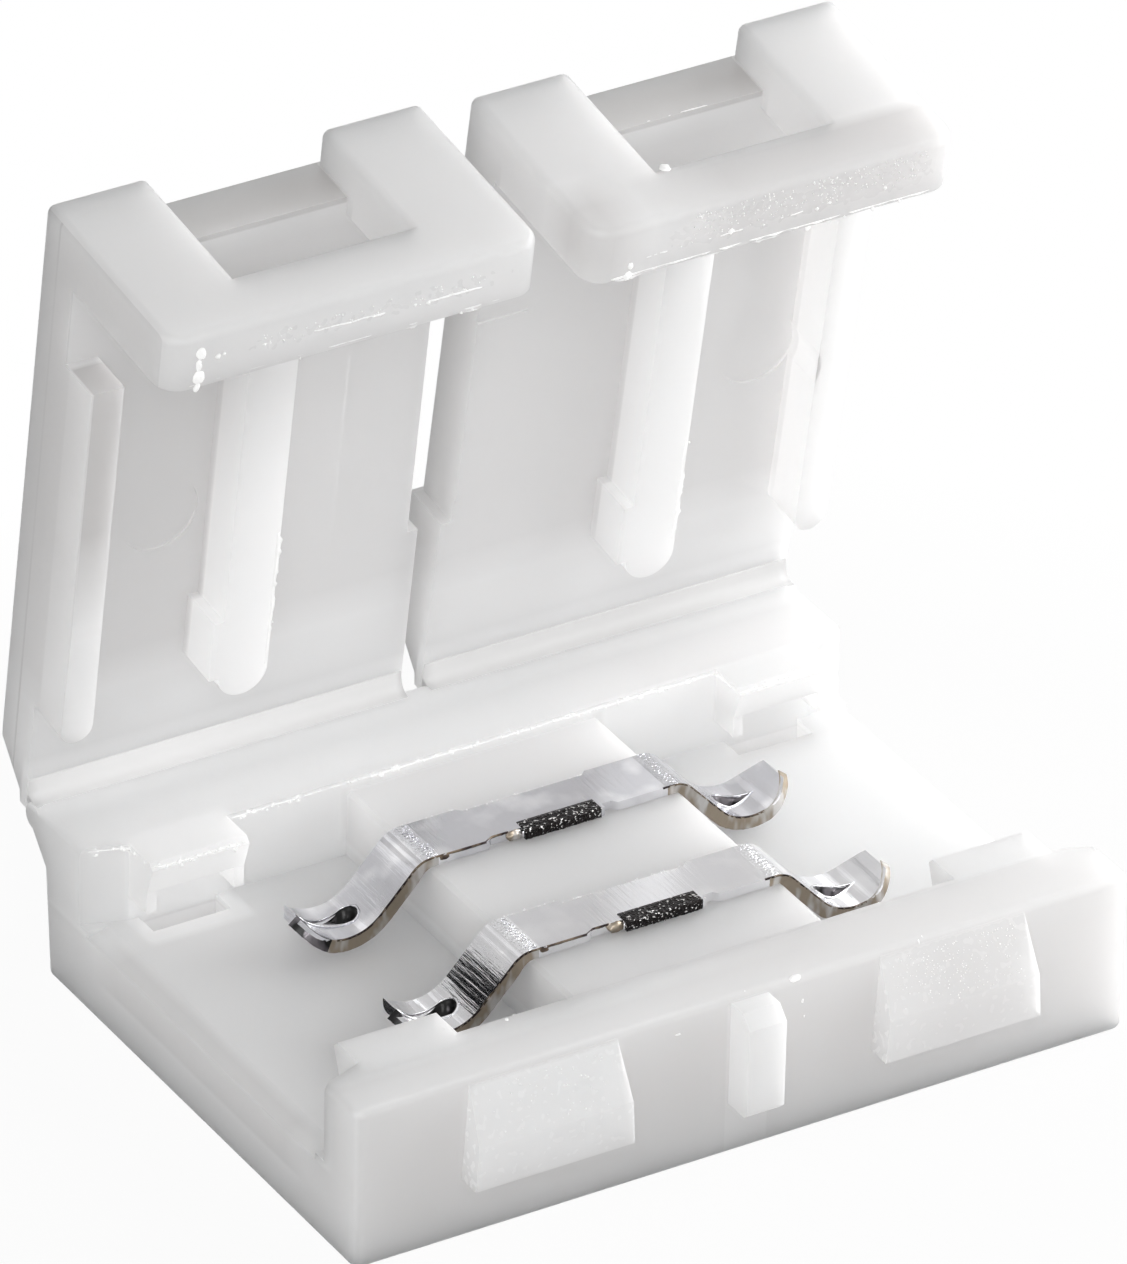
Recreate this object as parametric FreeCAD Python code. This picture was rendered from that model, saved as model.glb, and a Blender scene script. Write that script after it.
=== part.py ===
import FreeCAD, Part
import math
import os

V = FreeCAD.Vector

# Solderless clip connector that joins two ends of an 8 mm LED strip. Millimetres.
# X runs along the strip, -Y is the latch side, +Y the hinge side, Z is up.
# The origin is on the underside, on the strip's centre line, half way along.

# The strip and the room it is given
strip_width = 8.0
strip_side_play = 0.15
channel_width = strip_width + strip_side_play

# Tray
tray_length = 16.0
front_wall = 1.4
back_wall = 1.5
back_overhang = 0.2
floor_height = 1.68
wall_height = 3.28
corner_radius = 0.22
foot_radius = 0.12
lip_radius = 0.16
ledge_rise = 0.6
plateau_drop = 0.25
plateau_half = 2.64
plateau_chamfer = 0.08
mouth_flare = 0.3
mouth_depth = 0.85
floor_bevel = 0.45
floor_bevel_drop = 0.14
core_rib = 0.8
core_end = 1.95
core_half_width = 3.1
core_depth = 1.4
core_radius = 0.4

# Inward tabs that hold the strip down at its edges
tab_end_gap = 0.85
tab_length = 2.0
tab_reach = 0.85
tab_draft = 0.2
tab_edge_break = 0.12
tab_thickness = 0.68
tab_web = 0.2
tab_web_depth = 0.42
tab_core_play = 0.1

# Hinge: a bead along the tray's back edge that each lid turns about
bead_radius = 0.25
ledge_overhang = 0.515
hinge_play = 0.02

# Catches and centring key on the front face
catch_start = 2.6
catch_length = 3.25
catch_taper = 0.12
catch_depth = 0.5
catch_bottom = 1.24
catch_face = 0.88
key_width = 0.77
key_depth = 0.65
key_bottom = 1.08
key_bevel = 0.25
edge_break = 0.1

# Lids, drawn closed and then opened
lid_gap = 0.88
root_gap = 0.44
root_length = 3.9
lid_thickness = 1.1
lid_edge_radius = 0.12
left_lid_slope = 8.2
right_lid_slope = 9.3
web_thickness = 0.2
web_length = 0.25
root_slope_length = 0.7
root_round_length = 0.45
latch_play = 0.13
latch_thickness = 1.13
latch_foot = 0.0
latch_corner = 0.45
window_play = 0.14
sill_play = 0.04
window_recess = 0.74
arm_radius = 0.16
rib_depth = 0.97
rib_width = 1.0
rib_play = 0.12
right_rib_inset = 0.07
edge_rib_width = 0.65
rib_foot_extra = 0.2
rib_foot_length = 1.3
pad_height = 0.05
pad_start = 2.1
pad_inner_end = 1.5
pad_near_reach = 4.4
pad_far_reach = 8.5
ejector_left_inset = 2.25
ejector_right_inset = 1.35
ejector_reach = 6.0
ejector_radius = 0.78
ejector_depth = 0.05

# Spring contacts, bent from plated strip
contact_thickness = 0.18
contact_width = 1.2
contact_spacing = 3.5
contact_shift = -0.05
contact_waist = 0.1
waist_half = 1.25
shoulder_overhang = 0.08
shoulder_radius = 0.45
arm_slope = 47.0
valley_radius = 1.0
valley_clearance = 0.18
tip_slope = 50.0
tip_length = 1.26
stub_start = -0.55
stub_end = 1.05
stub_reach = 0.13
prong_width = 0.5
prong_depth = 0.65
prong_play = 0.01
eye_radius = 0.21
eye_length = 0.5
eye_inset = 0.34

# How far a joined piece reaches into its neighbour, and how far a cut runs past it
embed = 0.3
overrun = 1.0

half_length = tray_length / 2
half_channel = channel_width / 2
plateau_height = wall_height - plateau_drop
tab_start = half_length - tab_end_gap - tab_length
shoulder_x = plateau_half + shoulder_overhang
front_face = -half_channel - front_wall
back_face = half_channel + back_wall
pivot = V(0, back_face + ledge_overhang, wall_height - bead_radius)
lid_bottom = wall_height + hinge_play
lid_top = lid_bottom + lid_thickness
latch_inner = front_face - latch_play
latch_outer = latch_inner - latch_thickness


def box(x0, x1, y0, y1, z0, z1):
    return Part.makeBox(x1 - x0, y1 - y0, z1 - z0, V(x0, y0, z0))


def prism_x(yz, x0, x1):
    wire = Part.makePolygon([V(x0, y, z) for y, z in yz + yz[:1]])
    return Part.Face(wire).extrude(V(x1 - x0, 0, 0))


def prism_y(xz, y0, y1):
    wire = Part.makePolygon([V(x, y0, z) for x, z in xz + xz[:1]])
    return Part.Face(wire).extrude(V(0, y1 - y0, 0))


def prism_z(xy, z0, z1):
    wire = Part.makePolygon([V(x, y, z0) for x, y in xy + xy[:1]])
    return Part.Face(wire).extrude(V(0, 0, z1 - z0))


def mirror_x(shape):
    return shape.mirror(V(0, 0, 0), V(1, 0, 0))


def mirror_y(shape):
    return shape.mirror(V(0, 0, 0), V(0, 1, 0))


def edges_where(shape, test):
    return [e for e in shape.Edges if all(test(v.Point) for v in e.Vertexes)]


def near(a, b):
    return abs(a - b) < 1e-4


def tray_block():
    # End view of the tray: upright front, slightly leaning back, hinge ledge behind
    end_view = [
        (front_face, 0),
        (back_face, 0),
        (back_face + back_overhang, pivot.z - ledge_rise),
        (pivot.y, pivot.z - bead_radius),
        (pivot.y, wall_height),
        (front_face, wall_height),
    ]
    block = prism_x(end_view, -half_length, half_length)
    uprights = [e for e in block.Edges
                if near(abs(e.CenterOfMass.x), half_length)
                and (near(e.CenterOfMass.y, front_face) or near(e.CenterOfMass.y, back_face + back_overhang / 2))]
    block = block.makeFillet(corner_radius, uprights)
    block = block.makeFillet(foot_radius, edges_where(block, lambda p: near(p.z, 0)))
    lip = [e for e in block.Edges if near(e.CenterOfMass.y, front_face) and near(e.CenterOfMass.z, wall_height)]
    block = block.makeFillet(lip_radius, lip)
    bead = Part.makeCylinder(bead_radius, tray_length, V(-half_length, pivot.y, pivot.z), V(1, 0, 0))
    return block.fuse(bead).removeSplitter()


def mouth_cut():
    # Widens one corner of the channel's end so that a strip finds its way in
    slope = mouth_flare / mouth_depth
    return prism_z(
        [(half_length - mouth_depth, half_channel), (half_length - mouth_depth, half_channel - embed),
         (half_length + overrun, half_channel - embed),
         (half_length + overrun, half_channel + mouth_flare + overrun * slope)],
        floor_height, wall_height + overrun)


def floor_bevel_cut():
    slope = floor_bevel_drop / floor_bevel
    return prism_y(
        [(half_length - floor_bevel, floor_height), (half_length - floor_bevel, floor_height + embed),
         (half_length + overrun, floor_height + embed),
         (half_length + overrun, floor_height - floor_bevel_drop - overrun * slope)],
        -half_channel, half_channel)


def plateau_core():
    # Pocket under one half of the plateau, so that the moulding has an even thickness
    core = box(core_rib / 2, core_end, -core_half_width, core_half_width, -overrun, core_depth)
    uprights = [e for e in core.Edges if near(abs(e.CenterOfMass.y), core_half_width)
                and not near(e.Vertexes[0].Z, e.Vertexes[-1].Z)]
    return core.makeFillet(core_radius, uprights)


def strip_tab():
    under = wall_height - tab_thickness
    tip = half_channel - tab_reach
    root = half_channel + embed
    end_view = [
        (root, under), (tip + tab_draft, under), (tip, wall_height - tab_edge_break),
        (tip + tab_edge_break, wall_height), (root, wall_height),
    ]
    tab = prism_x(end_view, tab_start, tab_start + tab_length)
    for x in (tab_start, tab_start + tab_length - tab_web):
        web = box(x, x + tab_web, tip + tab_draft, root, under - tab_web_depth, under)
        tab = tab.fuse(web)
    return tab


def tab_core_cut():
    # Hole through the floor that the mould's core for the tab's underside leaves
    x0 = tab_start + tab_web
    x1 = tab_start + tab_length - tab_web
    depth = tab_reach - tab_draft - tab_core_play
    return box(x0, x1, half_channel - depth, half_channel, -overrun, floor_height + embed)


def catch():
    top = wall_height - edge_break
    side = [
        (front_face + embed, top), (front_face, top),
        (front_face - catch_depth, catch_bottom + catch_face), (front_face - catch_depth, catch_bottom),
        (front_face + embed, catch_bottom),
    ]
    end = catch_start + catch_length
    face = [
        (catch_start, catch_bottom), (end, catch_bottom),
        (end - catch_taper, wall_height), (catch_start + catch_taper, wall_height),
    ]
    wedge = prism_x(side, catch_start, end)
    return wedge.common(prism_y(face, front_face - catch_depth, front_face + embed))


def centring_key():
    top = wall_height - edge_break
    tip = front_face - key_depth
    side = [
        (front_face + embed, top), (tip + key_bevel, top), (tip, top - key_bevel),
        (tip, key_bottom + edge_break), (tip + edge_break, key_bottom), (front_face + embed, key_bottom),
    ]
    return prism_x(side, -key_width / 2, key_width / 2)


def prong(play):
    w = prong_width / 2 + play
    t = contact_thickness / 2 + play
    return box(-w, w, -t, t, plateau_height - prong_depth - play, plateau_height + contact_thickness / 2)


def base_tray():
    tray = tray_block()
    end = half_length + overrun
    tray = tray.cut(box(-end, end, -half_channel, half_channel, plateau_height, wall_height + overrun))
    for x0, x1 in ((-end, -plateau_half), (plateau_half, end)):
        tray = tray.cut(box(x0, x1, -half_channel, half_channel, floor_height, wall_height))
    rim = [e for e in tray.Edges
           if near(abs(e.CenterOfMass.x), plateau_half) and near(e.CenterOfMass.z, plateau_height)]
    tray = tray.makeChamfer(plateau_chamfer, rim)
    tray = tray.cut(plateau_core()).cut(mirror_x(plateau_core()))
    for cut in (mouth_cut(), floor_bevel_cut(), tab_core_cut()):
        tray = tray.cut(cut).cut(mirror_x(cut))
        tray = tray.cut(mirror_y(cut)).cut(mirror_x(mirror_y(cut)))
    tab = strip_tab()
    for piece in (tab, mirror_x(tab), mirror_y(tab), mirror_x(mirror_y(tab))):
        tray = tray.fuse(piece)
    tray = tray.fuse(catch()).fuse(mirror_x(catch())).fuse(centring_key())
    for side in (-1, 1):
        pocket = prong(prong_play)
        pocket.translate(V(0, side * contact_spacing / 2, 0))
        tray = tray.cut(pocket)
    return tray.removeSplitter()


def hinge_end():
    # Side view of the lid's root, from the hinge line up to its full thickness
    web_top = lid_bottom + web_thickness
    slope_end = pivot.y - web_length - root_slope_length
    return [
        (pivot.y, lid_bottom), (pivot.y, web_top), (pivot.y - web_length, web_top + edge_break / 2),
        (slope_end, lid_top - edge_break), (slope_end - root_round_length, lid_top),
    ]


def lid_plate():
    # Side view of the closed lid with its latch frame hanging over the front face
    side = hinge_end() + [
        (latch_outer, lid_top), (latch_outer, latch_foot),
        (latch_inner, latch_foot), (latch_inner, lid_bottom),
    ]
    inner = lid_gap / 2
    plate = prism_x(side, inner, half_length)
    corners = [e for e in plate.Edges
               if near(e.CenterOfMass.z, latch_foot) and not near(e.CenterOfMass.x, (inner + half_length) / 2)]
    plate = plate.makeFillet(latch_corner, corners)
    root_front = pivot.y - root_length
    root = prism_x(hinge_end() + [(root_front, lid_top), (root_front, lid_bottom)], root_gap / 2, inner)
    return plate.fuse(root).removeSplitter()


def latch_window():
    x0 = catch_start - window_play
    x1 = catch_start + catch_length + window_play
    sill = catch_bottom - sill_play
    front = latch_outer - overrun
    through = box(x0, x1, front, latch_inner + embed, sill, lid_bottom)
    corner = box(x0, x1, front, latch_outer + window_recess, lid_bottom, lid_top + overrun)
    return through.fuse(corner).removeSplitter()


def press_rib(x0, x1):
    # Long rib that presses the strip down, round at the hinge end
    top = lid_bottom + embed
    bottom = lid_bottom - rib_depth
    back = half_channel - rib_play
    front = -half_channel + rib_play
    r = (x1 - x0) / 2
    rib = box(x0, x1, front, back - r, bottom, top)
    return rib.fuse(Part.makeCylinder(r, top - bottom, V(x0 + r, back - r, bottom)))


def rib_foot(x0, x1):
    # Wider root of a rib near the hinge
    back = half_channel - rib_play - rib_width / 2
    return box(x0, x1, back - rib_foot_length, back, lid_bottom - rib_depth, lid_bottom + embed)


def lid(foot_side, ejector_x, pad, rib_inset=0):
    # One lid over the +X half; foot_side tells which side its middle rib widens to
    shape = lid_plate().cut(latch_window())
    arm_edges = [e for e in shape.Edges
                 if near(e.CenterOfMass.y, latch_outer) and near(e.Vertexes[0].X, e.Vertexes[-1].X)
                 and near(max(v.Z for v in e.Vertexes), lid_top)]
    shape = shape.makeFillet(arm_radius, arm_edges)
    top_edges = [e for e in shape.Edges
                 if near(e.CenterOfMass.y, latch_outer) and near(e.CenterOfMass.z, lid_top)]
    shape = shape.makeFillet(lid_edge_radius, top_edges)
    middle = valley_centre() - rib_inset
    half_rib = rib_width / 2
    foot = (middle, middle + foot_side * (half_rib + rib_foot_extra))
    x0, x1, y0, y1 = pad
    for piece in (press_rib(half_length - edge_rib_width, half_length),
                  press_rib(middle - half_rib, middle + half_rib),
                  rib_foot(min(foot), max(foot)),
                  box(x0, x1, y0, y1, lid_bottom - pad_height, lid_bottom + embed)):
        shape = shape.fuse(piece)
    mark = Part.makeCylinder(ejector_radius, overrun, V(ejector_x, pivot.y - ejector_reach,
                                                        lid_bottom - overrun + ejector_depth))
    return shape.cut(mark).removeSplitter()


def opened(shape, lean):
    shape = shape.copy()
    shape.rotate(pivot, V(1, 0, 0), lean - 90)
    return shape


def contact_path():
    # Middle line of one half of a contact, from its centre to the tip
    level = plateau_height + contact_thickness / 2
    half_turn = math.radians((arm_slope + tip_slope) / 2)
    valley_level = floor_height + valley_clearance + contact_thickness / 2
    corner_level = valley_level - valley_radius * (1 / math.cos(half_turn) - 1)
    run = (level - corner_level) / math.tan(math.radians(arm_slope))
    valley = (shoulder_x + run, corner_level)
    tip = (valley[0] + tip_length * math.cos(math.radians(tip_slope)),
           valley[1] + tip_length * math.sin(math.radians(tip_slope)))
    return [(0, level), (shoulder_x, level), valley, tip]


def valley_centre():
    return contact_path()[2][0]


def offset_chain(points, radii, offset):
    # Lines and arcs parallel to a path in XZ, kept at a signed distance from it
    heads = []
    for a, b in zip(points, points[1:]):
        run = math.hypot(b[0] - a[0], b[1] - a[1])
        heads.append(((b[0] - a[0]) / run, (b[1] - a[1]) / run))
    edges = []
    start = V(points[0][0] - heads[0][1] * offset, 0, points[0][1] + heads[0][0] * offset)
    for i, radius in enumerate(radii):
        d0, d1 = heads[i], heads[i + 1]
        corner = points[i + 1]
        turn = math.atan2(d0[0] * d1[1] - d0[1] * d1[0], d0[0] * d1[0] + d0[1] * d1[1])
        reach = radius * math.tan(abs(turn) / 2)
        side = 1 if turn > 0 else -1
        centre = V(corner[0] - d0[0] * reach - d0[1] * radius * side, 0,
                   corner[1] - d0[1] * reach + d0[0] * radius * side)
        r = radius - side * offset
        a0 = math.atan2(-d0[0] * side, d0[1] * side)
        arc = [V(centre.x + r * math.cos(a0 + turn * k), 0, centre.z + r * math.sin(a0 + turn * k))
               for k in (0, 0.5, 1)]
        edges += [Part.makeLine(start, arc[0]), Part.Arc(*arc).toShape()]
        start = arc[2]
    end = V(points[-1][0] - heads[-1][1] * offset, 0, points[-1][1] + heads[-1][0] * offset)
    edges.append(Part.makeLine(start, end))
    return edges


def bent_half():
    points = contact_path()
    radii = (shoulder_radius, valley_radius)
    upper = offset_chain(points, radii, contact_thickness / 2)
    lower = offset_chain(points, radii, -contact_thickness / 2)
    caps = [Part.makeLine(upper[0].Vertexes[0].Point, lower[0].Vertexes[0].Point),
            Part.makeLine(upper[-1].Vertexes[-1].Point, lower[-1].Vertexes[-1].Point)]
    wire = Part.Wire(Part.__sortEdges__(upper + lower + caps))
    half = Part.Face(wire).extrude(V(0, contact_width + 2 * embed, 0))
    half.translate(V(0, -contact_width / 2 - embed, 0))
    return half


def contact_plan():
    # Outline from above: full width at the arms, a waist between them, round tips
    tip = contact_path()[-1][0] + contact_thickness / 4
    r = contact_width / 2
    w = r - contact_waist
    high = plateau_height + overrun
    plan = box(-tip + r, tip - r, -r, r, 0, high)
    for x in (-tip + r, tip - r):
        plan = plan.fuse(Part.makeCylinder(r, high, V(x, 0, 0)))
    waist = prism_z([(-waist_half, w), (waist_half, w), (waist_half + 2 * contact_waist, w + 2 * contact_waist),
                     (-waist_half - 2 * contact_waist, w + 2 * contact_waist)], 0, high)
    plan = plan.cut(waist).cut(mirror_y(waist))
    plan = plan.fuse(box(stub_start, stub_end, -w - stub_reach, 0, 0, high))
    x = valley_centre() - eye_inset
    eye = prism_z([(x, -eye_radius), (x + eye_length, 0), (x, eye_radius)], 0, high)
    eye = eye.fuse(Part.makeCylinder(eye_radius, high, V(x, 0, 0)))
    return plan.cut(eye).cut(mirror_x(eye)).removeSplitter()


def contact(y):
    half = bent_half()
    strip = half.fuse(mirror_x(half)).common(contact_plan())
    strip.translate(V(contact_shift, 0, 0))
    strip = strip.fuse(prong(0)).removeSplitter()
    strip.translate(V(0, y, 0))
    return strip


def main():
    os.makedirs("parts", exist_ok=True)
    right_pad = (lid_gap / 2, pad_inner_end, pivot.y - pad_far_reach, pivot.y - pad_near_reach)
    left_pad = (pad_start, valley_centre(), -half_channel + rib_play, pivot.y - root_length)
    right = lid(-1, half_length - ejector_right_inset, right_pad, right_rib_inset)
    left = mirror_x(lid(1, half_length - ejector_left_inset, left_pad))
    nodes = {
        "base_tray": base_tray(),
        "left_lid": opened(left, left_lid_slope),
        "right_lid": opened(right, right_lid_slope),
        "front_contact": contact(-contact_spacing / 2),
        "rear_contact": contact(contact_spacing / 2),
    }
    for name, shape in nodes.items():
        solid = shape.Solids[0]
        print(name, shape.isValid(), len(shape.Solids), "solid", round(solid.Volume, 2), "mm3", solid.BoundBox)
        solid.exportStep("parts/" + name + ".step")


main()
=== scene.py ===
import math
import random

import bmesh
import bpy
from mathutils import Matrix, Vector, noise


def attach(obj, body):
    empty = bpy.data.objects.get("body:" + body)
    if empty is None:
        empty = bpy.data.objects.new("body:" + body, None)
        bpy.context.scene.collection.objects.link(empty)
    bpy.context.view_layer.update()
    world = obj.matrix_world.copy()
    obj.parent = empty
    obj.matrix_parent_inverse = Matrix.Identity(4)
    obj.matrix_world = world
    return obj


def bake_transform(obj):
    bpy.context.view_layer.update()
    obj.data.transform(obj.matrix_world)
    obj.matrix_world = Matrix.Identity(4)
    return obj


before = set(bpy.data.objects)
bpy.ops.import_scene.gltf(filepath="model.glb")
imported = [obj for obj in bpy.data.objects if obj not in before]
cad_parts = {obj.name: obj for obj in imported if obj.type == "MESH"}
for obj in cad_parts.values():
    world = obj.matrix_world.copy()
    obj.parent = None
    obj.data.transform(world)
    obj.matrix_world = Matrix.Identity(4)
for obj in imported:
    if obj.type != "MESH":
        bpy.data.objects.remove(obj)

print("frame loaded:", ", ".join(sorted(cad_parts)))
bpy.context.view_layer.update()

mm = 0.001
# Hinge line of both lids in millimetres, and how far each lid stands open at rest in degrees
hinge = {"y": 6.09, "z": 3.03, "left": 81.8, "right": 80.7}


class Field:
    # One output of a shader node, so that shader maths reads as plain expressions

    def __init__(self, tree, socket=None):
        self.tree = tree
        self.socket = socket

    def make(self, kind, settings=None, inputs=None, output=0):
        # Any node: its settings first, then the values or links of its sockets
        node = self.tree.nodes.new(kind)
        for name, value in (settings or {}).items():
            setattr(node, name, value)
        for name, value in (inputs or {}).items():
            if isinstance(value, Field):
                self.tree.links.new(value.socket, node.inputs[name])
            else:
                node.inputs[name].default_value = value
        return Field(self.tree, node.outputs[output]) if len(node.outputs) else None

    def maths(self, operation, *values, clamp=False):
        settings = {"operation": operation, "use_clamp": clamp}
        return self.make("ShaderNodeMath", settings, dict(enumerate(values)))

    def __add__(self, other):
        return self.maths("ADD", self, other)

    def __radd__(self, other):
        return self.maths("ADD", other, self)

    def __sub__(self, other):
        return self.maths("SUBTRACT", self, other)

    def __rsub__(self, other):
        return self.maths("SUBTRACT", other, self)

    def __mul__(self, other):
        return self.maths("MULTIPLY", self, other)

    def __rmul__(self, other):
        return self.maths("MULTIPLY", other, self)

    def __abs__(self):
        return self.maths("ABSOLUTE", self)

    def band(self, low, high, soft):
        # 1 between low and high, fading to 0 over soft outside them
        away = abs(self - (low + high) / 2)
        reach = (high - low) / 2 + soft
        return self.maths("MULTIPLY_ADD", away, -1 / soft, reach / soft, clamp=True)


def newMaterial(name):
    material = bpy.data.materials.new(name)
    material.use_nodes = True
    material.node_tree.nodes.clear()
    return material, Field(material.node_tree)


def finishMaterial(material, graph, shader):
    graph.make("ShaderNodeOutputMaterial", {}, {"Surface": shader})
    return material


def placeInMm(graph):
    # The surface's own coordinates in millimetres; they stay with the piece when it moves
    coords = graph.make("ShaderNodeTexCoord", {}, {}, "Object")
    return graph.make("ShaderNodeVectorMath", {"operation": "SCALE"}, {"Vector": coords, "Scale": 1 / mm})


def grain(graph, place, scale, detail=2.0, roughness=0.5):
    settings = {"Vector": place, "Scale": scale, "Detail": detail, "Roughness": roughness}
    return graph.make("ShaderNodeTexNoise", {}, settings, "Fac")


mouldedLook = {
    "colour": (0.86, 0.851, 0.85),
    "cloudColour": (0.90, 0.891, 0.89),
    # The tones after the cloud colour are painted: the lightest is painted light, the others painted shade,
    # and the deep one also colours the lids' dark parting line
    "paintedLightColour": (0.98, 0.975, 0.972),
    "paintedShadeColour": (0.77, 0.761, 0.76),
    "shadeAndSeamColour": (0.66, 0.65, 0.65),
    "shadeColour": (0.52, 0.51, 0.508),
    "recessShadeColour": (0.60, 0.59, 0.585),
    "refraction": 1.5,
    "roughness": 0.50,
    "roughSpread": 0.2,
    "shineSpread": 0.5,
    "scatterScale": 3.5 * mm,
    "scatterRadius": (1.0, 0.97, 0.95),
    "grainPerMm": 8.0,
    "cloudPerMm": 0.45,
    "glowStrength": 0.20,
}


def mix(graph, mask, low, high):
    # Colour between two, low where the mask is 0
    ends = [side if isinstance(side, Field) else (*side, 1) for side in (low, high)]
    return graph.make("ShaderNodeMix", {"data_type": "RGBA"}, {"Factor": mask, 6: ends[0], 7: ends[1]}, 2)


def split(graph, place):
    axes = graph.make("ShaderNodeSeparateXYZ", {}, {0: place}, 0)
    node = axes.socket.node
    return [Field(graph.tree, node.outputs[axis]) for axis in range(3)]


def closedPlace(graph, place, openDegrees):
    # Lid coordinates as if it were closed: turned back about the hinge
    turn = math.radians(openDegrees)
    y, z = hinge["y"], hinge["z"]
    turnedY = y * math.cos(turn) - z * math.sin(turn)
    turnedZ = y * math.sin(turn) + z * math.cos(turn)
    closed = {"Vector": place, "Rotation": (turn, 0, 0), "Location": (0, y - turnedY, z - turnedZ)}
    return graph.make("ShaderNodeMapping", {}, closed)


def plasticShader(graph, place, colour, shine, glow):
    # shine is where the face glitters; glow is painted light: emission where light piped through the
    # plastic would come out
    look = mouldedLook
    fine = grain(graph, place, look["grainPerMm"], 0.0)
    return graph.make("ShaderNodeBsdfPrincipled", {}, {
        "Base Color": colour, "IOR": look["refraction"],
        "Roughness": look["roughness"] - fine * (shine * look["shineSpread"] + look["roughSpread"]),
        "Subsurface Weight": 1.0, "Subsurface Scale": look["scatterScale"],
        "Subsurface Radius": look["scatterRadius"], "Emission Strength": look["glowStrength"],
        "Emission Color": mix(graph, glow, (0, 0, 0), (1, 1, 1)),
    })


def makeAxes(graph, place):
    # wide and deep are the distances from the middle of the part along x and y
    x, y, z = split(graph, place)
    return {"x": x, "y": y, "z": z, "wide": abs(x), "deep": abs(y)}


def zoneMask(axes, stretches, strength):
    # 1 where a point is inside all stretches: axis, from, to, and how softly it ends, in millimetres
    bands = [axes[axis].band(low, high, soft) for axis, low, high, soft in stretches]
    mask = math.prod(bands[1:], start=bands[0])
    return mask if strength == 1.0 else mask * strength


def painted(graph, place, axes, tones):
    # Cloudy plastic with another tone in each zone: painted light or painted shade, the plain tone put
    # back, or the lids' dark parting line
    look = mouldedLook
    colour = mix(graph, grain(graph, place, look["cloudPerMm"], 0.0), look["colour"], look["cloudColour"])
    for tone, strength, *stretches in tones:
        colour = mix(graph, zoneMask(axes, stretches, strength), colour, look[tone])
    return colour


# The painted glow: emission where the plastic should look lit from within, though it is no lamp
def glowing(axes, glows):
    masks = [zoneMask(axes, stretches, strength) for strength, *stretches in glows]
    return sum(masks[1:], masks[0])


def plasticMaterial(name, look, openDegrees):
    # A lid's zones are given as if it were closed; the tray's open angle is 0
    material, graph = newMaterial(name)
    place = placeInMm(graph)
    axes = makeAxes(graph, closedPlace(graph, place, openDegrees) if openDegrees else place)
    colour = painted(graph, place, axes, look["tones"])
    shineStrength, *shineStretches = look["shine"]
    shine = zoneMask(axes, shineStretches, shineStrength)
    glow = glowing(axes, look["glows"])
    return finishMaterial(material, graph, plasticShader(graph, place, colour, shine, glow))


catchRamps = (("wide", 2.65, 5.8, 0.12), ("y", -6.4, -5.5, 0.03), ("z", 1.2, 3.1, 0.1))
tabHollows = (("wide", 5.0, 7.3, 0.03), ("deep", 3.1, 4.25, 0.03), ("z", 0.2, 1.52, 0.03))
leftTabs = (("wide", 5.15, 7.1, 0.15), ("z", 1.66, 3.3, 0.1), ("x", -9.0, 0.0, 2.0))
trayLook = {
    # Painted light over the tray's inside, the key and the left catch ramp; painted shade on the left
    # floor, the front face and the top of the front wall on the right; the plain tone put back in the
    # middle, on the right ledge and in the tab hollows
    "tones": [
        ("paintedLightColour", 1.0, ("y", -4.4, 6.6, 0.3), ("z", 1.6, 3.6, 0.1)),
        ("colour", 1.0, ("wide", -1.0, 2.7, 0.1), ("y", -4.2, 4.0, 0.2), ("z", 2.0, 3.1, 0.1)),
        ("colour", 1.0, ("x", 4.0, 9.0, 3.0), ("y", 4.2, 6.6, 0.1), ("z", 3.0, 3.6, 0.1)),
        ("paintedShadeColour", 1.0, ("x", -9.0, -4.5, 1.5), ("deep", -1.0, 3.0, 0.8), ("z", 0.9, 1.62, 0.1)),
        ("paintedShadeColour", 1.0, ("y", -6.4, -5.44, 0.05)),
        ("colour", 1.0, *tabHollows),
        ("paintedLightColour", 1.0, ("wide", -1.0, 0.42, 0.03), ("y", -6.4, -5.5, 0.03)),
        ("paintedLightColour", 0.8, *catchRamps, ("x", -9.0, 1.0, 3.0)),
        ("paintedShadeColour", 1.0, ("y", -5.4, -4.2, 0.1), ("x", 2.0, 9.0, 4.0), ("z", 2.9, 3.4, 0.2)),
    ],
    # Painted glow (emission): the left tabs, the left ledge, the hinge crease, the tab hollows and the
    # floor on the right
    "glows": [
        (0.5, *leftTabs, ("y", 3.3, 4.2, 0.25)),
        (0.3, *leftTabs, ("y", -4.2, -3.4, 0.25)),
        (0.2, ("x", -9.0, 0.0, 2.0), ("y", 4.5, 6.4, 0.4), ("z", 3.2, 3.4, 0.05)),
        (0.8, ("y", 5.95, 6.4, 0.6), ("z", 3.2, 3.4, 0.05)),
        (0.55, *tabHollows),
        (0.7, ("x", 5.6, 9.0, 1.5), ("deep", -1.0, 3.0, 0.5), ("z", 0.9, 1.62, 0.1)),
    ],
    "shine": (1.0, *catchRamps),
}

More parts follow.
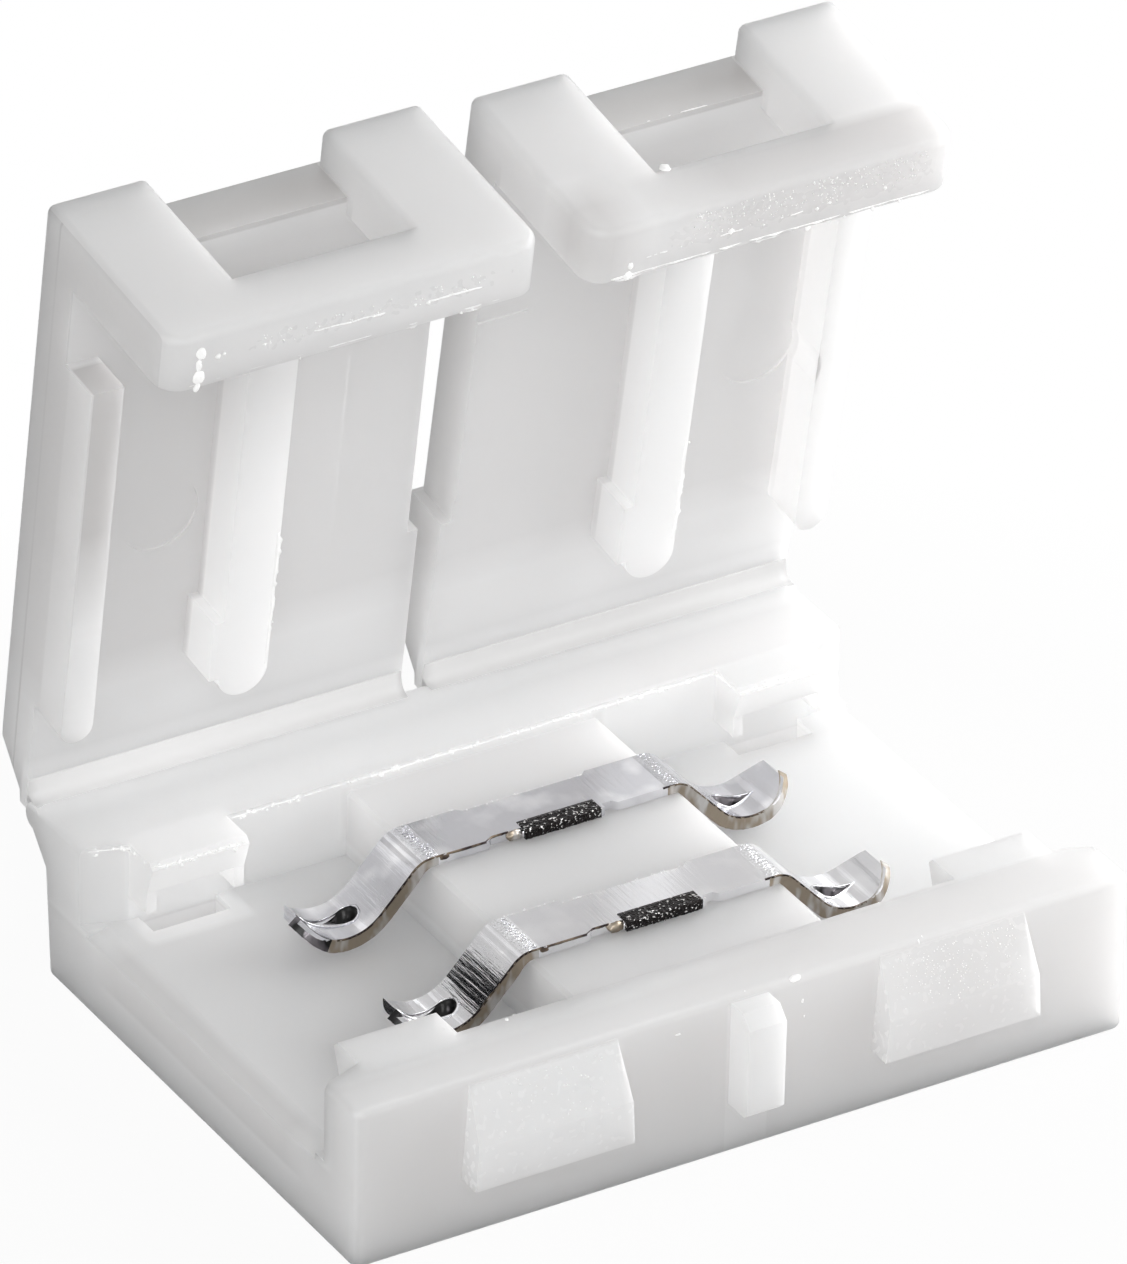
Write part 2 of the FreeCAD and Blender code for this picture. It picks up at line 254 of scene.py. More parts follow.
edgeRib = (("wide", 6.6, 7.95, 0.05), ("z", 0.9, 3.1, 0.1))
lidSide = ("wide", 7.97, 8.2, 0.01)
barFace = (("z", -0.2, 0.12, 0.1), ("y", -6.30, -6.05, 0.25))
# Painted shade on the plates, painted light on the ribs, painted shade in the window recess, and a dark
# parting line round the lid's side
lidTones = [
    ("paintedShadeColour", 1.0, ("z", 3.15, 4.3, 0.05), ("y", -5.4, 3.0, 0.8)),
    ("paintedLightColour", 1.0, ("z", 1.0, 2.6, 0.6), ("y", -4.0, 4.3, 1.5)),
    ("recessShadeColour", 1.0, ("wide", 2.5, 5.95, 0.05), ("y", -6.03, -5.9, 0.04), ("z", 3.3, 4.4, 0.1)),
    ("shadeAndSeamColour", 1.0, lidSide, ("z", 3.83, 3.87, 0.02)),
]
# The lids' glows are painted light: emission on the ribs and along the hinge
hingeGlow = (0.7, ("y", 5.45, 6.4, 0.45), ("z", 2.9, 3.45, 0.1))
lidLook = {
    "left": {
        "tones": lidTones + [
            # Painted shade on the edge rib under the bar and on the left side face
            ("shadeColour", 1.0, *edgeRib, ("y", -5.0, -0.8, 2.6), ("y", -5.45, 6.0, 0.05)),
            ("shadeAndSeamColour", 0.7, lidSide, ("y", -6.0, 0.0, 3.0)),
        ],
        "glows": [
            (0.5, ("x", -5.5, -3.8, 0.05), ("z", 0.9, 3.15, 0.1), ("y", 0.0, 3.4, 3.0)),
            (0.3, *edgeRib, ("y", 1.8, 3.6, 1.5)),
            hingeGlow,
        ],
        "shine": (0.35, ("x", -6.0, -1.5, 0.8), *barFace),
    },
    "right": {
        "tones": lidTones + [
            # Painted shade on the bar and on the left arm's corner
            ("shadeAndSeamColour", 1.0, ("x", 3.5, 8.2, 2.0), ("y", -6.9, -5.5, 0.1), ("z", -0.3, 1.0, 0.3)),
            ("shadeAndSeamColour", 1.0, ("x", -1.0, 0.9, 0.8), ("y", -6.9, -5.4, 0.1), ("z", -0.3, 0.8, 0.8)),
        ],
        "glows": [
            (0.15, ("x", 3.6, 4.75, 0.05), ("z", 0.9, 3.15, 0.1), ("y", 0.0, 3.4, 3.0)),
            (0.09, *edgeRib, ("y", 1.8, 3.6, 1.5)),
            hingeGlow,
        ],
        "shine": (1.0, ("x", 2.6, 7.0, 0.8), *barFace),
    },
}


flashLook = {
    "colour": (1.0, 1.0, 0.99), "dullColour": (0.92, 0.92, 0.915), "roughness": 0.12, "roughSpread": 0.15,
    "grainPerMm": 12.0, "relief": 0.02 * mm, "glow": 0.2,
}


def flashPlastic(name):
    # Thin glassy flash: clearer and shinier than the wall it stands on, with a painted glow (emission) that
    # makes it look lit
    material, graph = newMaterial(name)
    look = flashLook
    fine = grain(graph, placeInMm(graph), look["grainPerMm"], 2.0)
    bump = graph.make("ShaderNodeBump", {}, {"Strength": 1.0, "Distance": look["relief"], "Height": fine})
    shader = graph.make("ShaderNodeBsdfPrincipled", {}, {
        "Base Color": mix(graph, fine, look["dullColour"], look["colour"]),
        "Roughness": look["roughness"] + fine * look["roughSpread"], "Normal": bump,
        "IOR": mouldedLook["refraction"], "Emission Color": (1, 1, 1, 1), "Emission Strength": look["glow"],
    })
    return finishMaterial(material, graph, shader)


webLook = {
    "colour": (0.85, 0.847, 0.846), "rightColour": (0.72, 0.717, 0.716), "rightStretch": (4.0, 9.0, 9.0),
    "roughness": 0.4, "roughSpread": 0.1, "grainPerMm": 5.0,
}


def webPlastic(name):
    # Thin plastic; the right end is a little darker, as it stands nearer the lamps
    material, graph = newMaterial(name)
    look = webLook
    place = placeInMm(graph)
    fine = grain(graph, place, look["grainPerMm"], 1.0)
    toRight = split(graph, place)[0].band(*look["rightStretch"])
    shader = graph.make("ShaderNodeBsdfPrincipled", {}, {
        "Base Color": mix(graph, toRight, look["colour"], look["rightColour"]),
        "Roughness": look["roughness"] + fine * look["roughSpread"], "IOR": mouldedLook["refraction"],
    })
    return finishMaterial(material, graph, shader)


platedLook = {
    "colour": (0.88, 0.88, 0.90), "dullColour": (0.68, 0.68, 0.71), "frontLightColour": (0.93, 0.93, 0.94),
    # The front contact is painted lighter: painted light over its flats and arms
    "frontLightStretch": (-3.0, -0.5, 0.1), "frontLightShare": 0.6,
    "brushScale": (14, 1.0, 14), "patchPerMm": 1.3, "patchStretch": (0.5, 1.0, 0.2), "crystalPerMm": 18.0,
    "roughness": 0.15, "roughSpread": 0.2,
    # distances from the middle of the bar, and heights, in millimetres
    "shift": 0.05, "burrStretch": (2.46, 2.62, 0.10), "burrHeight": 0.05,
    "strokeStretch": (2.95, 3.75, 0.2), "strokeHeight": 0.009, "flatHeight": 0.003,
    "climbEnd": 3.22, "climbLength": 0.37, "armTilt": 0.09,
}


def platedMetal(name):
    # Bright plating, brushed across the strip; the arms look rounder towards the shoulders
    material, graph = newMaterial(name)
    look = platedLook
    place = placeInMm(graph)
    x, y = split(graph, place)[:2]
    brush = graph.make("ShaderNodeMapping", {}, {"Vector": place, "Scale": look["brushScale"]})
    brushed = grain(graph, brush, 1.0, 3.0)
    patches = grain(graph, place, look["patchPerMm"], 2.0).band(*look["patchStretch"])
    crystals = grain(graph, place, look["crystalPerMm"], 1.0)
    wide = abs(x + look["shift"])
    burr = wide.band(*look["burrStretch"])
    lift = look["climbEnd"] - wide
    climb = lift.maths("DIVIDE", lift, look["climbLength"], clamp=True)
    strokes = wide.band(*look["strokeStretch"]) * look["strokeHeight"] + look["flatHeight"]
    colour = mix(graph, patches, look["colour"], look["dullColour"])
    # Painted light: the front contact's colour is made lighter
    colour = mix(graph, y.band(*look["frontLightStretch"]) * look["frontLightShare"], colour, look["frontLightColour"])
    relief = brushed * strokes + crystals * burr * look["burrHeight"] - climb * climb * look["armTilt"]
    bump = graph.make("ShaderNodeBump", {}, {"Strength": 1.0, "Distance": mm, "Height": relief})
    shader = graph.make("ShaderNodeBsdfPrincipled", {}, {
        "Base Color": colour, "Metallic": 1.0, "Normal": bump,
        "Roughness": look["roughness"] + (brushed - 0.5) * look["roughSpread"],
    })
    return finishMaterial(material, graph, shader)


# Sheared metal: light where it was cut, browner where it broke, and a dark rolled corner whose darkness is
# painted shade; the darkest kind is painted shade for holes and tips
shearedLooks = {
    "sheared": {"colour": (0.56, 0.545, 0.53), "dullColour": (0.33, 0.28, 0.22), "roughness": 0.38},
    "corner": {"colour": (0.22, 0.17, 0.12), "dullColour": (0.04, 0.03, 0.03), "roughness": 0.35},
    "painted_shade": {"colour": (0.16, 0.15, 0.16), "dullColour": (0.02, 0.02, 0.02), "roughness": 0.28},
}
shearedStreaks = {"scale": (3.0, 3.0, 1.2), "stretch": (0.52, 1.0, 0.12), "relief": 0.02 * mm}


def shearedMetal(kind):
    material, graph = newMaterial(kind + "_metal")
    look, streak = shearedLooks[kind], shearedStreaks
    along = graph.make("ShaderNodeMapping", {}, {"Vector": placeInMm(graph), "Scale": streak["scale"]})
    streaks = grain(graph, along, 1.0, 2.0)
    broken = streaks.band(*streak["stretch"])
    relief = {"Strength": 1.0, "Distance": streak["relief"], "Height": streaks}
    bump = graph.make("ShaderNodeBump", {}, relief)
    shader = graph.make("ShaderNodeBsdfPrincipled", {}, {
        "Base Color": mix(graph, broken, look["colour"], look["dullColour"]), "Metallic": 1.0,
        "Normal": bump, "Roughness": look["roughness"],
    })
    return finishMaterial(material, graph, shader)


tornLook = {
    "colour": (0.018, 0.016, 0.016), "facetColour": (0.75, 0.74, 0.73), "roughness": 0.3,
    "facetsPerMm": 20.0, "facetStretch": (0.655, 1.0, 0.02), "relief": 0.05 * mm,
}


def tornMetal(name):
    # The torn face of a stub: dark, with bright facets
    material, graph = newMaterial(name)
    look = tornLook
    facets = grain(graph, placeInMm(graph), look["facetsPerMm"], 1.0)
    bump = graph.make("ShaderNodeBump", {}, {"Strength": 1.0, "Distance": look["relief"], "Height": facets})
    shader = graph.make("ShaderNodeBsdfPrincipled", {}, {
        "Base Color": mix(graph, facets.band(*look["facetStretch"]), look["colour"], look["facetColour"]),
        "Metallic": 1.0, "Normal": bump, "Roughness": look["roughness"],
    })
    return finishMaterial(material, graph, shader)


def dress(node, material):
    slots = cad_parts[node].data.materials
    slots.clear()
    slots.append(material)


print("finishes: moulded plastic and plated metal")
dress("base_tray", plasticMaterial("moulded_tray", trayLook, 0.0))
for lidSideName, lidSideLook in lidLook.items():
    lidMaterial = plasticMaterial("moulded_" + lidSideName + "_lid", lidSideLook, hinge[lidSideName])
    dress(lidSideName + "_lid", lidMaterial)
dress("front_contact", platedMetal("plated_front"))
dress("rear_contact", platedMetal("plated_rear"))
web = webPlastic("moulded_web")
sheared, corner, paintedShadeMetal = [shearedMetal(kind) for kind in shearedLooks]
flash = flashPlastic("moulded_flash")
torn = tornMetal("torn_metal")
bright = platedMetal("pressed_metal")


def buildPiece(name, points, faces, material, smooth=True):
    mesh = bpy.data.meshes.new(name)
    mesh.from_pydata([tuple(axis * mm for axis in point) for point in points], [], faces)
    work = bmesh.new()
    work.from_mesh(mesh)
    bmesh.ops.recalc_face_normals(work, faces=work.faces)
    for face in work.faces:
        face.smooth = smooth
    work.to_mesh(mesh)
    work.free()
    mesh.materials.append(material)
    piece = bpy.data.objects.new(name, mesh)
    bpy.context.scene.collection.objects.link(piece)
    return piece


def addPiece(name, points, faces, material, body, smooth=True):
    piece = buildPiece(name, points, faces, material, smooth)
    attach(piece, body)
    return piece


def ringFaces(faces, rings, size, closed):
    # Faces between rings of points; a closed row of rings meets itself, an open one gets end caps
    for ring in range(rings if closed else rings - 1):
        low, below = ring * size, (ring + 1) % rings * size
        for index in range(size):
            after = (index + 1) % size
            faces.append((low + index, low + after, below + after, below + index))
    if not closed:
        last = (rings - 1) * size
        faces += [tuple(range(size)), tuple(last + index for index in reversed(range(size)))]


def noiseShift(draw, axes):
    # Each piece reads the noise at a place of its own
    return Vector([draw.uniform(0, 50) for axis in range(axes)] + [0] * (3 - axes))


def lidPoint(body, point):
    # From the closed lid's millimetres to where the lid stands at rest
    if body == "base":
        return Vector(point)
    turn = Matrix.Rotation(-math.radians(hinge[body.split("_")[0]]), 3, "X")
    pivot = Vector((0, hinge["y"], hinge["z"]))
    return turn @ (Vector(point) - pivot) + pivot


def lidTurn(body, direction):
    return lidPoint(body, direction) - lidPoint(body, (0, 0, 0))


flashLines = {
    # name: body, way it stands, height, thickness, crumbs per millimetre, points in closed millimetres
    "left_bar_flash": ("left_lid", (0, 1, 0), 0.07, 0.02, 0.8, [(-7.5, -5.62, 0.02), (-0.9, -5.62, 0.02)]),
    "right_bar_flash": ("right_lid", (0, 1, 0), 0.09, 0.025, 1.0, [(0.9, -5.62, 0.02), (7.5, -5.62, 0.02)]),
    "left_bar_ridge": ("left_lid", (0, 0, -1), 0.04, 0.03, 1.6, [
        (-7.3, -6.20, 0.01), (-4.3, -6.10, 0.01), (-1.3, -6.06, 0.01)]),
    "right_bar_ridge": ("right_lid", (0, 0, -1), 0.03, 0.03, 1.2, [
        (1.4, -5.95, 0.01), (4.2, -5.98, 0.01), (7.2, -6.05, 0.01)]),
    "left_rib_flash": ("left_lid", (1, 0, 0), 0.10, 0.03, 1.5, [(-3.80, 0.4, 2.35), (-3.80, 3.4, 2.35)]),
    "right_rib_flash": ("right_lid", (1, 0, 0), 0.10, 0.03, 1.5, [(4.70, 0.9, 2.35), (4.70, 3.2, 2.35)]),
    "ledge_left_flash": ("base", (0, -0.8, 0.6), 0.03, 0.03, 14.0, [
        (-7.85, 4.32, 3.21), (-7.2, 4.10, 3.21), (-7.12, 4.02, 3.21),
        (-7.08, 3.28, 3.21), (-7.0, 3.24, 3.21), (-5.25, 3.24, 3.21)]),
    "ledge_flash": ("base", (0, -0.8, 0.6), 0.03, 0.03, 9.0, [
        (-5.12, 4.07, 3.21), (-2.6, 4.07, 3.21), (2.6, 4.07, 3.21), (5.1, 4.07, 3.21)]),
    "ledge_right_flash": ("base", (0, -0.8, 0.6), 0.03, 0.03, 8.0, [
        (5.14, 4.05, 3.21), (5.17, 3.26, 3.21), (7.0, 3.24, 3.21), (7.12, 4.02, 3.21)]),
    "wall_left_flash": ("base", (0, -0.6, 0.8), 0.03, 0.03, 1.0, [
        (-6.9, -5.40, 3.19), (-2.6, -5.40, 3.19)]),
    "wall_right_flash": ("base", (0, -0.6, 0.8), 0.05, 0.03, 2.0, [
        (-0.2, -5.40, 3.19), (7.5, -5.40, 3.19)]),
    "wall_inner_flash": ("base", (0, 0.3, 0.95), 0.02, 0.03, 1.2, [
        (-5.1, -4.10, 3.25), (5.1, -4.10, 3.25)]),
    "left_recess_line": ("left_lid", (0, -1, 0), 0.03, 0.02, 0.0, [
        (-5.9, -5.985, 3.33), (-3.0, -5.985, 3.33)]),
    "right_recess_line": ("right_lid", (0, -1, 0), 0.04, 0.02, 0.3, [
        (2.6, -5.985, 3.33), (5.9, -5.985, 3.33)]),
}
flashShape = {
    # millimetres, and noise waves per millimetre
    "step": 0.05, "wave": 1.6, "waveLift": 0.15, "fineWave": 4.3, "fineShare": 0.9, "endsPerMm": 4.0,
    "wanderWave": 2.1, "wanderShift": (9, 3, 0), "wander": 0.6, "sunk": 0.05, "down": 0.004, "crest": 0.35,
    "crumbLow": 0.012, "crumbSpan": 0.055, "crumbLift": 0.2,
}


def addCrumb(points, faces, centre, size, draw):
    # One ragged crumb: a squashed octahedron with its corners moved about
    low = len(points)
    for axis in ((1, 0, 0), (0, 1, 0), (-1, 0, 0), (0, -1, 0), (0, 0, 1), (0, 0, -1)):
        points.append(centre + Vector(axis) * (size * draw.uniform(0.6, 1.3)))
    for side in range(4):
        after = (side + 1) % 4
        faces.append((low + side, low + after, low + 4))
        faces.append((low + after, low + side, low + 5))


def makeFlash(name, body, stand, height, thick, crumbs, path):
    # A ragged ribbon of flash: its crest rises and falls, with crumbs here and there
    shape = flashShape
    draw = random.Random(name)
    seed = noiseShift(draw, 2)
    corners = [lidPoint(body, point) for point in path]
    up = lidTurn(body, stand).normalized()
    points, faces, gone = [], [], 0.0
    whole = sum((b - a).length for a, b in zip(corners, corners[1:]))
    for a, b in zip(corners, corners[1:]):
        length = (b - a).length
        out = (b - a).cross(up).normalized()
        count = max(2, int(length / shape["step"]))
        low = len(points)
        for step in range(count + 1):
            far = gone + length * step / count
            along = seed + Vector((far * shape["wave"], 0, 0))
            crest = max(noise.noise(along) + shape["waveLift"], 0.0)
            crest += shape["fineShare"] * max(noise.noise(along * shape["fineWave"]), 0.0)
            ends = min(1.0, far * shape["endsPerMm"], (whole - far) * shape["endsPerMm"])
            rise = height * min(crest, 1.0) * max(ends, 0.0)
            sway = noise.noise(along * shape["wanderWave"] + Vector(shape["wanderShift"]))
            base = a.lerp(b, step / count) + out * (sway * thick * shape["wander"]) - up * shape["down"]
            for sideways, lift in ((-1, -shape["sunk"]), (1, -shape["sunk"]),
                                   (shape["crest"], rise), (-shape["crest"], rise)):
                points.append(base + out * (thick * sideways) + up * lift)
        stretch = []
        ringFaces(stretch, count + 1, 4, False)
        faces += [tuple(low + index for index in face) for face in stretch]
        for crumb in range(int(length * crumbs)):
            place = a.lerp(b, draw.random()) + out * draw.gauss(0, thick)
            place += up * (height * shape["crumbLift"])
            size = draw.uniform(0.3, 1.0) ** 2 * shape["crumbSpan"] + shape["crumbLow"]
            addCrumb(points, faces, place, size, draw)
        gone += length
    addPiece(name, points, faces, flash, body)


for flashName, spec in flashLines.items():
    makeFlash(flashName, *spec)
print("flash lines:", len(flashLines))


sparkleCrowding = 1.3
sparkles = {
    # name: body, corner in closed millimetres, reach along, reach across, how many, smallest and largest
    "left_catch_sparkle": (
        "base", (-5.40, -5.53, 3.06), (2.3, 0, 0), (0, -0.43, -0.92), 70, (0.010, 0.026)),
    "right_catch_sparkle": (
        "base", (2.85, -5.53, 3.06), (2.65, 0, 0), (0, -0.43, -0.92), 260, (0.008, 0.020)),
    "right_bar_sparkle": (
        "right_lid", (2.5, -6.62, 0.0), (4.9, 0, 0), (0, 0.62, 0), 240, (0.008, 0.024)),
    "left_bar_sparkle": (
        "left_lid", (-6.2, -6.35, 0.0), (4.8, 0, 0), (0, 0.30, 0), 60, (0.010, 0.026)),
}


def makeSparkle(name, body, corner, along, across, count, sizes):
    # Grains that catch the light on the rough faces of the mould; their flash material adds a painted glow
    draw = random.Random(name)
    points, faces = [], []
    for index in range(count):
        place = Vector(corner) + Vector(along) * draw.random()
        place += Vector(across) * draw.random() ** sparkleCrowding
        addCrumb(points, faces, lidPoint(body, place), draw.uniform(*sizes), draw)
    addPiece(name, points, faces, flash, body)


for sparkleName, spec in sparkles.items():
    makeSparkle(sparkleName, *spec)
print("sparkles:", len(sparkles))


beads = {
    # name: body, centre in closed millimetres, half sizes
    "left_bar_bead_a": ("left_lid", (-7.33, -6.33, -0.0), (0.09, 0.13, 0.07)),
    "left_bar_bead_b": ("left_lid", (-7.35, -6.08, -0.0), (0.06, 0.12, 0.05)),
    "left_bar_bead_c": ("left_lid", (-7.33, -5.82, -0.0), (0.11, 0.13, 0.07)),
    "left_bar_bead_d": ("left_lid", (-7.34, -5.60, 0.04), (0.07, 0.13, 0.06)),
    "right_bar_drip": ("right_lid", (1.24, -5.64, 0.03), (0.09, 0.11, 0.07)),
    "right_bar_drip_top": ("right_lid", (1.27, -5.86, 0.0), (0.05, 0.07, 0.05)),
    "right_window_bead": ("right_lid", (2.62, -6.72, 1.25), (0.10, 0.05, 0.11)),
    "bar_drip_small": ("right_lid", (5.0, -5.57, 0.05), (0.06, 0.09, 0.05)),
    "key_pip_right": ("base", (1.12, -5.45, 2.75), (0.05, 0.03, 0.09)),
    "key_pip_low": ("base", (1.16, -5.45, 2.42), (0.03, 0.03, 0.05)),
    "key_pip_left": ("base", (-1.45, -5.45, 2.86), (0.11, 0.03, 0.04)),
    "tab_pip": ("base", (0.98, -5.40, 3.22), (0.14, 0.06, 0.07)),
}


beadShape = {"subdivisions": 3, "wave": 1.7, "swell": 0.28}


def makeBead(name, body, centre, sizes, material=flash, slot="moulding"):
    # A drop of plastic squeezed out at a corner of the mould, or a rounded nick in the metal
    work = bmesh.new()
    bmesh.ops.create_icosphere(work, subdivisions=beadShape["subdivisions"], radius=1.0)
    draw = random.Random(name)
    seed = noiseShift(draw, 3)
    points = []
    for vertex in work.verts:
        ball = vertex.co * (1.0 + beadShape["swell"] * noise.noise(vertex.co * beadShape["wave"] + seed))
        away = Vector([axis * size for axis, size in zip(ball, sizes)])
        points.append(lidPoint(body, Vector(centre) + away))
    work.verts.index_update()
    faces = [tuple(corner.index for corner in face.verts) for face in work.faces]
    work.free()
    addPiece(name, points, faces, material, body)


for beadName, spec in beads.items():
    makeBead(beadName, *spec)
print("beads and pips:", len(beads))


stub = {
    # millimetres, and noise waves per millimetre
    "low": -0.66, "high": 0.92, "deep": 0.34, "face": 0.645, "top": 3.222, "bottom": 3.035, "step": 0.028,
    "skin": 0.03, "sunk": 0.05, "rows": 6, "out": 0.004, "topShare": 0.4,
    "wave": 9.0, "waveHeight": 0.03, "fineWave": 22.0, "fineHeight": 0.022,
}


def makeTornStub(name, lane):
    # Rough skin over the torn end of a stub: a short way in over its top, then down its face
    draw = random.Random(name)
    seed = noiseShift(draw, 2)
    face, back, rows = lane - stub["face"], lane - stub["face"] + stub["deep"], stub["rows"]
    tall = stub["top"] - stub["bottom"]
    outline = [(back, stub["top"] - stub["skin"])]
    outline += [(back - stub["deep"] * row / rows, stub["top"]) for row in range(rows)]
    outline += [(face, stub["top"] - tall * row / rows) for row in range(rows + 1)]
    outline += [(face + stub["sunk"], stub["bottom"])]
    count = int((stub["high"] - stub["low"]) / stub["step"])
    points, faces = [], []
    size = len(outline)
    for step in range(count + 1):
        x = stub["low"] + (stub["high"] - stub["low"]) * step / count
        for index, (y, z) in enumerate(outline):
            spot = Vector((x, y, z))
            bump = noise.noise(spot * stub["wave"] + seed) * stub["waveHeight"]
            bump = abs(bump + noise.noise(spot * stub["fineWave"] + seed) * stub["fineHeight"])
            inner = 1 < index < size - 1
            onTop = inner and index < rows + 3
            points.append((x, y - (stub["out"] + bump) * inner, z + bump * stub["topShare"] * onTop))
    ringFaces(faces, count + 1, size, False)
    addPiece(name, points, faces, torn, "base")


lanes = {"rear": 1.75, "front": -1.75}
strip = {
    # Millimetres from the middle of a bar, which stands a little to the left
    "shift": -0.05, "half": 0.6, "thick": 0.18, "level": 3.12, "shoulder": 2.524, "shoulderRadius": 0.45,
    "armSlope": 47.0, "valley": 4.246, "valleyZ": 2.95, "valleyRadius": 1.0, "tip": 5.14, "tipSine": 0.766,
}


def onStrip(far, off):
    # Distance and height of a point a little off a bar's middle line
    slope, tipSine = math.radians(strip["armSlope"]), strip["tipSine"]
    bend, valley = strip["shoulderRadius"], strip["valleyRadius"]
    armStart = strip["shoulder"] + bend * math.sin(slope)
    armEnd = strip["valley"] - valley * math.sin(slope)
    if far <= strip["shoulder"]:
        lean, z = 0.0, strip["level"]
    elif far <= armStart:
        lean = -math.asin((far - strip["shoulder"]) / bend)
        z = strip["level"] - bend * (1 - math.cos(lean))
    elif far <= armEnd:
        lean = -slope
        z = strip["level"] - bend * (1 - math.cos(slope)) - (far - armStart) * math.tan(slope)
    else:
        lean = math.asin(min((far - strip["valley"]) / valley, tipSine))
        z = strip["valleyZ"] - valley * math.cos(lean)
        z += max(0.0, far - strip["valley"] - tipSine) * math.tan(lean)
    return far - off * math.sin(lean), z + off * math.cos(lean)


def onContact(lane, side, far, across, off):
    distance, z = onStrip(far, off)
    return side * distance + strip["shift"], lane + across, z


eye = {
    "at": 3.92, "radius": 0.21, "leftTail": 1.0, "rightTail": 0.62, "tailSteps": 8, "tailPower": 0.95,
    "roundSteps": 12, "middle": 4.04, "deepTo": 4.34, "shallow": 0.002, "shallowShare": 0.1, "rough": 0.005,
    # The cup's rings, from the middle of its underside round the rim to its floor: growth, height
    "cup": ((0.35, -0.21), (0.75, -0.17), (1.0, -0.10), (1.05, 0.010), (0.97, 0.004), (0.80, -0.05),
            (0.55, -0.12), (0.30, -0.17)),
    # The lip's section: outwards, upwards
    "lip": ((0.022, 0.0), (0.0, 0.026), (-0.022, 0.0), (0.0, -0.02)),
    "lipGrow": 1.10, "lipReach": 4.0, "lipLift": 0.006, "lipSwell": (0.7, 1.3),
}


def eyeRim(tail):
    # Half a circle, then the two sides of the tail that runs to the tip
    at, radius = eye["at"], eye["radius"]
    turns = [math.pi * (0.5 + step / eye["roundSteps"]) for step in range(eye["roundSteps"] + 1)]
    steps = eye["tailSteps"]
    taper = [(at + tail * step / steps, radius * (1 - step / steps) ** eye["tailPower"])
             for step in range(1, steps)]
    circle = [(at + radius * math.cos(turn), radius * math.sin(turn)) for turn in turns]
    return circle + [(x, -y) for x, y in taper] + [(at + tail, 0.0)] + taper[::-1]


def makeEye(name, lane, side):
    # The pierced eye: a drop-shaped cup in painted shade, dark as the shadow in the hole, whose tail runs
    # to the tip, with bright raised lips
    face, middle = strip["thick"] / 2, eye["middle"]
    rim = eyeRim(eye["leftTail"] if side < 0 else eye["rightTail"])
    draw = random.Random(name)
    points, faces = [], []
    for grow, drop in eye["cup"]:
        for x, y in rim:
            deep = x < eye["deepTo"] or drop > 0
            height = face + (drop if deep else drop * eye["shallowShare"] - eye["shallow"])
            height += draw.uniform(-eye["rough"], eye["rough"])
            points.append(onContact(lane, side, middle + (x - middle) * grow, y * grow, height))
    ringFaces(faces, len(eye["cup"]), len(rim), False)
    addPiece(name, points, faces, paintedShadeMetal, "base")
    points, faces = [], []
    for x, y in rim:
        swell = draw.uniform(*eye["lipSwell"])
        for out, lift in eye["lip"]:
            grow = eye["lipGrow"] + out * swell * eye["lipReach"]
            height = face + eye["lipLift"] + lift * swell
            points.append(onContact(lane, side, middle + (x - middle) * grow, y * grow, height))
    ringFaces(faces, len(rim), len(eye["lip"]), True)
    addPiece(name + "_lip", points, faces, bright, "base")


sideShape = {"step": 0.04, "swellFrom": 2.55, "swellLength": 0.4, "leastSwell": 0.3, "rough": 0.004,
             "sunk": 0.02, "out": 0.006, "lowOut": 0.008, "roundTo": 1.5}
# Skins over the near sides: name, from, to, top off the middle line, thickness, swell, material
sideSkins = {
    # Corner skins are painted shade along the rolled corner; the left tips' ends are painted shade
    "left": [
        ("side", 2.40, 4.62, 0.092, 0.186, 0.07, sheared),
        ("corner", 2.30, 4.5, 0.096, 0.028, 0.0, corner),
        ("end", 4.62, 5.35, 0.092, 0.186, 0.07, paintedShadeMetal),
    ],
    "right": [
        ("side", 2.40, 5.35, 0.092, 0.186, 0.07, sheared),
        ("corner", 2.30, 4.5, 0.096, 0.028, 0.0, corner),
    ],
}


def makeSide(name, lane, side, low, high, top, thick, lower, material):
    # A skin over the near side of a contact, round its tip; it swells downwards past the shoulder
    shape, half = sideShape, strip["half"]
    edge = strip["tip"] - half
    draw = random.Random(name)
    points, faces = [], []
    count = int((high - low) / shape["step"])
    for step in range(count + 1):
        far = low + (high - low) * step / count
        turn = max(0.0, min(far - edge, half * shape["roundTo"]) / half)
        sine, cosine = math.sin(turn), math.cos(turn)
        swell = lower * min(1.0, max(0.0, (far - shape["swellFrom"]) / shape["swellLength"]))
        bottom = top - thick - swell * max(shape["leastSwell"], 1 - turn)
        rough = draw.uniform(-shape["rough"], shape["rough"])
        for skin, off in ((-shape["sunk"], top), (shape["out"] + rough, top),
                          (shape["lowOut"], bottom + rough), (-shape["sunk"], bottom)):
            x, y, z = onContact(lane, side, min(far, edge) + half * sine, -(half + skin) * cosine, off)
            points.append((x + side * sine * skin, y, z))
    ringFaces(faces, count + 1, 4, False)
    addPiece(name, points, faces, material, "base", smooth=False)


waistLine = {"ends": ((-2.28, 0.598), (-1.46, 0.598), (-1.28, 0.498), (-0.95, 0.498)), "steps": 10,
             "top": 3.214, "bottom": 3.175, "sunk": 0.015, "out": 0.006, "rough": 0.006}


